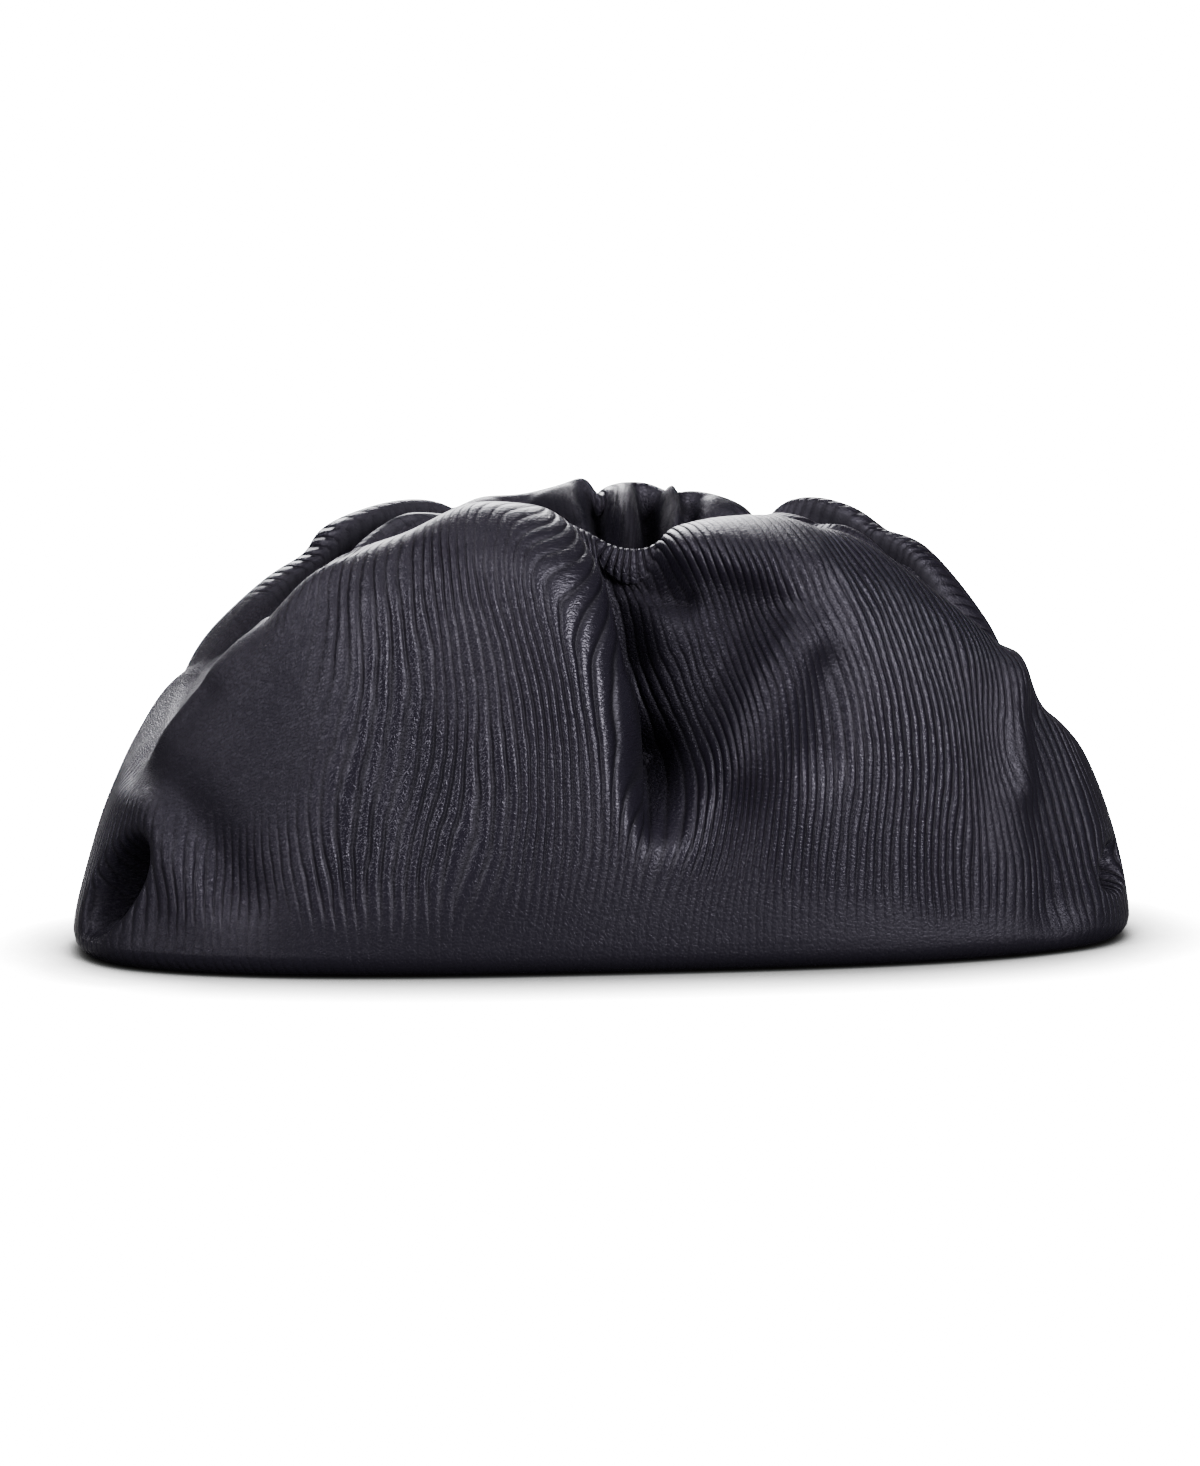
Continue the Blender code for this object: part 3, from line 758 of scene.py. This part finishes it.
def math_node(tree, operation, first, second=None, third=None):
    """A Math node whose inputs are links or numbers, and its output socket."""
    node = add_node(tree, "ShaderNodeMath", operation=operation)
    for socket, value in zip(node.inputs, (first, second, third)):
        if value is None:
            continue
        if isinstance(value, bpy.types.NodeSocket):
            tree.links.new(value, socket)
        else:
            socket.default_value = value
    return node.outputs[0]


def noise_node(tree, vector, scale, detail, roughness):
    """A Noise texture's factor, centred on zero."""
    node = add_node(tree, "ShaderNodeTexNoise")
    tree.links.new(vector, node.inputs["Vector"])
    node.inputs["Scale"].default_value = scale
    node.inputs["Detail"].default_value = detail
    node.inputs["Roughness"].default_value = roughness
    return math_node(tree, "SUBTRACT", node.outputs["Fac"], 0.5)


def new_group(name, inputs, outputs):
    """An empty shader group with float or vector sockets, and its two end nodes."""
    group = bpy.data.node_groups.new(name, "ShaderNodeTree")
    for title, kind, value in inputs:
        socket = group.interface.new_socket(title, in_out="INPUT", socket_type=kind)
        if kind == "NodeSocketFloat":
            socket.default_value = value
    for title, kind in outputs:
        group.interface.new_socket(title, in_out="OUTPUT", socket_type=kind)
    return group, group.nodes.new("NodeGroupInput"), group.nodes.new("NodeGroupOutput")


def grain_group():
    """Ridges where the count plus wandering noise passes a whole number, and finer marks."""
    group, start, end = new_group(
        "embossed_grain",
        [
            ("Metres", "NodeSocketVector", None),
            ("Count", "NodeSocketVector", None),
            ("Wander", "NodeSocketFloat", WANDER),
            ("Length Round", "NodeSocketFloat", 1.0),
        ],
        [
            ("Ridge", "NodeSocketFloat"),
            ("Patch", "NodeSocketFloat"),
            ("Crackle", "NodeSocketFloat"),
            ("Pores", "NodeSocketFloat"),
        ],
    )
    split = add_node(group, "ShaderNodeSeparateXYZ")
    group.links.new(start.outputs["Metres"], split.inputs[0])
    counted = add_node(group, "ShaderNodeSeparateXYZ")
    group.links.new(start.outputs["Count"], counted.inputs[0])
    turn = math_node(group, "DIVIDE", split.outputs["X"], start.outputs["Length Round"])
    angle = math_node(group, "MULTIPLY", turn, 2.0 * math.pi)
    radius = math_node(group, "DIVIDE", start.outputs["Length Round"], 2.0 * math.pi)
    wrapped = []
    for operation in ("COSINE", "SINE"):
        wrapped.append(math_node(group, "MULTIPLY", math_node(group, operation, angle), radius))

    def on_cylinder(share):
        """Points on the cylinder, with heights times share."""
        joined = add_node(group, "ShaderNodeCombineXYZ")
        group.links.new(wrapped[0], joined.inputs["X"])
        group.links.new(wrapped[1], joined.inputs["Y"])
        group.links.new(math_node(group, "MULTIPLY", split.outputs["Y"], share), joined.inputs["Z"])
        return joined.outputs[0]

    slow = noise_node(group, on_cylinder(0.55), 20.0, 1.0, 0.4)
    quick = noise_node(group, on_cylinder(0.40), 75.0, 2.0, 0.5)
    wave = math_node(group, "MULTIPLY", slow, start.outputs["Wander"])
    wave = math_node(group, "MULTIPLY_ADD", quick, FLUTTER, wave)
    phase = math_node(group, "ADD", counted.outputs["X"], wave)
    circle = math_node(group, "MULTIPLY", phase, 2.0 * math.pi)
    skew = math_node(group, "MULTIPLY", math_node(group, "COSINE", circle), SKEW)
    sine = math_node(group, "SINE", math_node(group, "ADD", circle, skew))
    raised = math_node(group, "MULTIPLY_ADD", sine, 0.47, 0.53)
    rounded = math_node(group, "POWER", raised, FULLNESS)
    ridge = math_node(group, "MULTIPLY_ADD", rounded, 2.0, -1.0)
    patch = noise_node(group, on_cylinder(0.6), 26.0, 2.0, 0.5)
    clamp = add_node(group, "ShaderNodeClamp")
    group.links.new(math_node(group, "MULTIPLY_ADD", patch, 2.4, 0.80), clamp.inputs[0])
    cells = add_node(group, "ShaderNodeTexVoronoi", feature="DISTANCE_TO_EDGE")
    cells.inputs["Scale"].default_value = CELLS_PER_METRE
    group.links.new(on_cylinder(1.6), cells.inputs["Vector"])
    crackle = add_node(group, "ShaderNodeMapRange")
    crackle.inputs["From Max"].default_value = 0.16
    group.links.new(cells.outputs["Distance"], crackle.inputs["Value"])
    group.links.new(ridge, end.inputs["Ridge"])
    group.links.new(clamp.outputs[0], end.inputs["Patch"])
    group.links.new(crackle.outputs[0], end.inputs["Crackle"])
    pores = noise_node(group, on_cylinder(1.0), PORES_PER_METRE, 2.0, 0.6)
    group.links.new(pores, end.inputs["Pores"])
    return group


GRAIN = grain_group()

# %% [markdown]
# ## The leather's finish
#
# The hide is dyed a warm charcoal with a hint of violet, and has a satin finish: broad soft
# highlights, a little sharper on the tops of the ridges where handling has polished them. The
# valleys between the ridges are duller, and their colour is darker as painted shade; the lighter
# ridge tops stand for wear. The leather that the gathers close over is duller too, with painted
# shade in its colour. Creased and stretched leather shows more crackle and shines less. Heights
# are in millimetres.

# %% Charcoal leather
RIDGE_HEIGHT = 0.58
PORE_HEIGHT = 0.22
PLAIN_CRACKLE, CREASED_CRACKLE = 0.05, 0.20
VALLEY_SHADE_COLOUR = (0.0050, 0.0042, 0.0075, 1.0)
RIDGE_COLOUR = (0.0160, 0.0138, 0.0225, 1.0)
SHEEN_TINT = (0.88, 0.83, 1.0, 1.0)
ROUGHNESS = 0.42
RIDGE_POLISH = 0.28
CREASE_DULLNESS = 0.22
SHELTER_DULLNESS = 0.45
PAINTED_GATHER_SHADE = 0.8


def mask_node(tree, name):
    """A number that the mesh holds at each point."""
    return add_node(tree, "ShaderNodeAttribute", attribute_name=name).outputs["Fac"]


def leather_material():
    """One height in millimetres makes the bump, the roughness and the colour, whose darker valleys are
    painted shade.
    """
    material = bpy.data.materials.new("charcoal_leather")
    material.use_nodes = True
    tree = material.node_tree
    shader = tree.nodes["Principled BSDF"]
    grain = add_node(tree, "ShaderNodeGroup", node_tree=GRAIN)
    for socket, layer in (("Metres", "leather_metres"), ("Count", "grain_count")):
        tree.links.new(add_node(tree, "ShaderNodeUVMap", uv_map=layer).outputs[0], grain.inputs[socket])
    grain.inputs["Wander"].default_value = WANDER
    grain.inputs["Length Round"].default_value = perimeter
    creased = mask_node(tree, "creased")
    strength = math_node(tree, "MULTIPLY", mask_node(tree, "grain_strength"), grain.outputs["Patch"])
    height = math_node(tree, "MULTIPLY", grain.outputs["Ridge"], strength)
    height = math_node(tree, "MULTIPLY", height, RIDGE_HEIGHT)
    crackle = math_node(tree, "MULTIPLY_ADD", creased, CREASED_CRACKLE, PLAIN_CRACKLE)
    crackle = math_node(tree, "MULTIPLY", grain.outputs["Crackle"], crackle)
    height = math_node(tree, "ADD", height, crackle)
    height = math_node(tree, "MULTIPLY_ADD", grain.outputs["Pores"], PORE_HEIGHT, height)
    bump = add_node(tree, "ShaderNodeBump")
    bump.inputs["Distance"].default_value = 0.001
    tree.links.new(height, bump.inputs["Height"])
    tree.links.new(bump.outputs[0], shader.inputs["Normal"])
    # Painted shade in the grain: lower heights give a darker colour for the shade of the valleys, and
    # lighter ridge tops stand for wear.
    ramp = add_node(tree, "ShaderNodeValToRGB")
    ramp.color_ramp.elements[0].position = 0.12
    ramp.color_ramp.elements[0].color = VALLEY_SHADE_COLOUR
    ramp.color_ramp.elements[1].position = 0.92
    ramp.color_ramp.elements[1].color = RIDGE_COLOUR
    # Painted shade: deep between the gathers the colour is darkened, and the roughness rises there.
    shade_and_dullness = mask_node(tree, "gather_shade_and_dullness")
    painted_shade_offset = math_node(tree, "MULTIPLY_ADD", shade_and_dullness, -PAINTED_GATHER_SHADE, 0.5)
    tree.links.new(math_node(tree, "ADD", height, painted_shade_offset), ramp.inputs[0])
    tree.links.new(ramp.outputs[0], shader.inputs["Base Color"])
    rough = math_node(tree, "MULTIPLY_ADD", height, -RIDGE_POLISH, ROUGHNESS)
    rough = math_node(tree, "MULTIPLY_ADD", creased, CREASE_DULLNESS, rough)
    rough = math_node(tree, "MULTIPLY_ADD", shade_and_dullness, SHELTER_DULLNESS, rough)
    tree.links.new(rough, shader.inputs["Roughness"])
    shader.inputs["Specular IOR Level"].default_value = 0.5
    shader.inputs["Specular Tint"].default_value = SHEEN_TINT
    return material


mesh.materials.append(leather_material())
pouch = bpy.data.objects.new("leather_pouch", mesh)
bpy.context.scene.collection.objects.link(pouch)
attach(pouch, "root")
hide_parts("pouch_body")

# %% [markdown]
# ## The frame's finish
#
# The snap frame is steel with a dark satin coat. Only its top edge can be seen, from above,
# deep in the cleft, so it keeps the shape of the CAD model and gets fine brushing.


# %% Dark coated metal
def frame_material():
    """Brushing along the bar, read from Object coordinates, varies the colour and the roughness."""
    material = bpy.data.materials.new("dark_coated_steel")
    material.use_nodes = True
    tree = material.node_tree
    shader = tree.nodes["Principled BSDF"]
    place = add_node(tree, "ShaderNodeTexCoord")
    stretch = add_node(tree, "ShaderNodeMapping")
    stretch.inputs["Scale"].default_value = (30.0, 900.0, 900.0)
    tree.links.new(place.outputs["Object"], stretch.inputs["Vector"])
    brushed = noise_node(tree, stretch.outputs[0], 1.0, 3.0, 0.5)
    tree.links.new(math_node(tree, "MULTIPLY_ADD", brushed, 0.25, 0.38), shader.inputs["Roughness"])
    ramp = add_node(tree, "ShaderNodeValToRGB")
    ramp.color_ramp.elements[0].color = (0.030, 0.030, 0.034, 1.0)
    ramp.color_ramp.elements[1].color = (0.085, 0.083, 0.090, 1.0)
    tree.links.new(math_node(tree, "ADD", brushed, 0.5), ramp.inputs[0])
    tree.links.new(ramp.outputs[0], shader.inputs["Base Color"])
    shader.inputs["Metallic"].default_value = 1.0
    return material


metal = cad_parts["snap_frame"]
metal.data.materials.clear()
metal.data.materials.append(frame_material())

# %% [markdown]
# ## The studio
#
# A pale floor runs into a pale background. To the camera both are as bright as paper lit from
# behind, and the floor's glow is dimmed near the bag by ambient occlusion, a painted contact
# shadow. What they send to the leather is kept low, as in a studio with a dark room in front,
# so the folds keep their shade.
# Large soft lamps stand to the left and to the right, high behind for the bright rim, and high
# in front, where a weak one fills the valleys.

# %% Floor, world and lamps
PAPER_WHITE = 30.0
ROOM_LIGHT = 0.07
FLOOR_HALF = 6.0
FLOOR_REACH = 0.06
LAMP_ROWS = (
    ("left_lamp", (-1.4, -1.0, 1.05), 0.9, 22.0),
    ("right_lamp", (1.05, -1.55, 0.74), 0.7, 32.0),
    ("top_lamp", (-0.1, 1.2, 1.15), 1.0, 96.0),
    ("front_lamp", (0.0, -0.8, 1.7), 1.0, 5.0),
)


def camera_switch(tree, seen, unseen, output):
    """Shows one shader to the camera and another to every other ray."""
    path = add_node(tree, "ShaderNodeLightPath")
    mix = add_node(tree, "ShaderNodeMixShader")
    tree.links.new(path.outputs["Is Camera Ray"], mix.inputs[0])
    tree.links.new(unseen, mix.inputs[1])
    tree.links.new(seen, mix.inputs[2])
    tree.links.new(mix.outputs[0], output)


def make_floor():
    """A square far wider than the picture. Its glow holds a painted contact shadow: it falls tenfold for
    each quarter of occlusion.
    """
    floor_mesh = bpy.data.meshes.new("studio_floor")
    corners = [(x * FLOOR_HALF, y * FLOOR_HALF, 0.0) for x, y in ((-1, -1), (1, -1), (1, 1), (-1, 1))]
    floor_mesh.from_pydata(corners, [], [(0, 1, 2, 3)])
    material = bpy.data.materials.new("pale_floor")
    material.use_nodes = True
    tree = material.node_tree
    matt = tree.nodes["Principled BSDF"]
    matt.inputs["Base Color"].default_value = (0.03, 0.03, 0.032, 1.0)
    matt.inputs["Roughness"].default_value = 0.6
    # Painted contact shadow: ambient occlusion dims the floor's glow near the bag.
    shade = add_node(tree, "ShaderNodeAmbientOcclusion", samples=16)
    shade.inputs["Distance"].default_value = FLOOR_REACH
    power = math_node(tree, "MULTIPLY_ADD", shade.outputs["AO"], 4.0, -2.5)
    glow = add_node(tree, "ShaderNodeEmission")
    tree.links.new(math_node(tree, "POWER", 10.0, power), glow.inputs["Strength"])
    surface = tree.nodes["Material Output"].inputs["Surface"]
    camera_switch(tree, glow.outputs[0], matt.outputs[0], surface)
    floor_mesh.materials.append(material)
    floor = bpy.data.objects.new("studio_floor", floor_mesh)
    bpy.context.scene.collection.objects.link(floor)


def make_world():
    """White as paper to the camera, and dim to everything else."""
    world = bpy.data.worlds.new("studio_world")
    world.use_nodes = True
    tree = world.node_tree
    room = tree.nodes["Background"]
    room.inputs["Color"].default_value = (1.0, 1.0, 1.0, 1.0)
    room.inputs["Strength"].default_value = ROOM_LIGHT
    paper = add_node(tree, "ShaderNodeBackground")
    paper.inputs["Color"].default_value = (1.0, 1.0, 1.0, 1.0)
    paper.inputs["Strength"].default_value = PAPER_WHITE
    surface = tree.nodes["World Output"].inputs["Surface"]
    camera_switch(tree, paper.outputs[0], room.outputs[0], surface)
    bpy.context.scene.world = world


def make_lamp(name, place, size, power):
    """A square area lamp that faces the aim point: size in metres, power in watts."""
    data = bpy.data.lights.new(name, "AREA")
    data.size = size
    data.energy = power
    lamp = bpy.data.objects.new(name, data)
    lamp.location = place
    lamp.rotation_euler = (AIM - Vector(place)).to_track_quat("-Z", "Y").to_euler()
    bpy.context.scene.collection.objects.link(lamp)


make_floor()
make_world()
for row in LAMP_ROWS:
    make_lamp(*row)
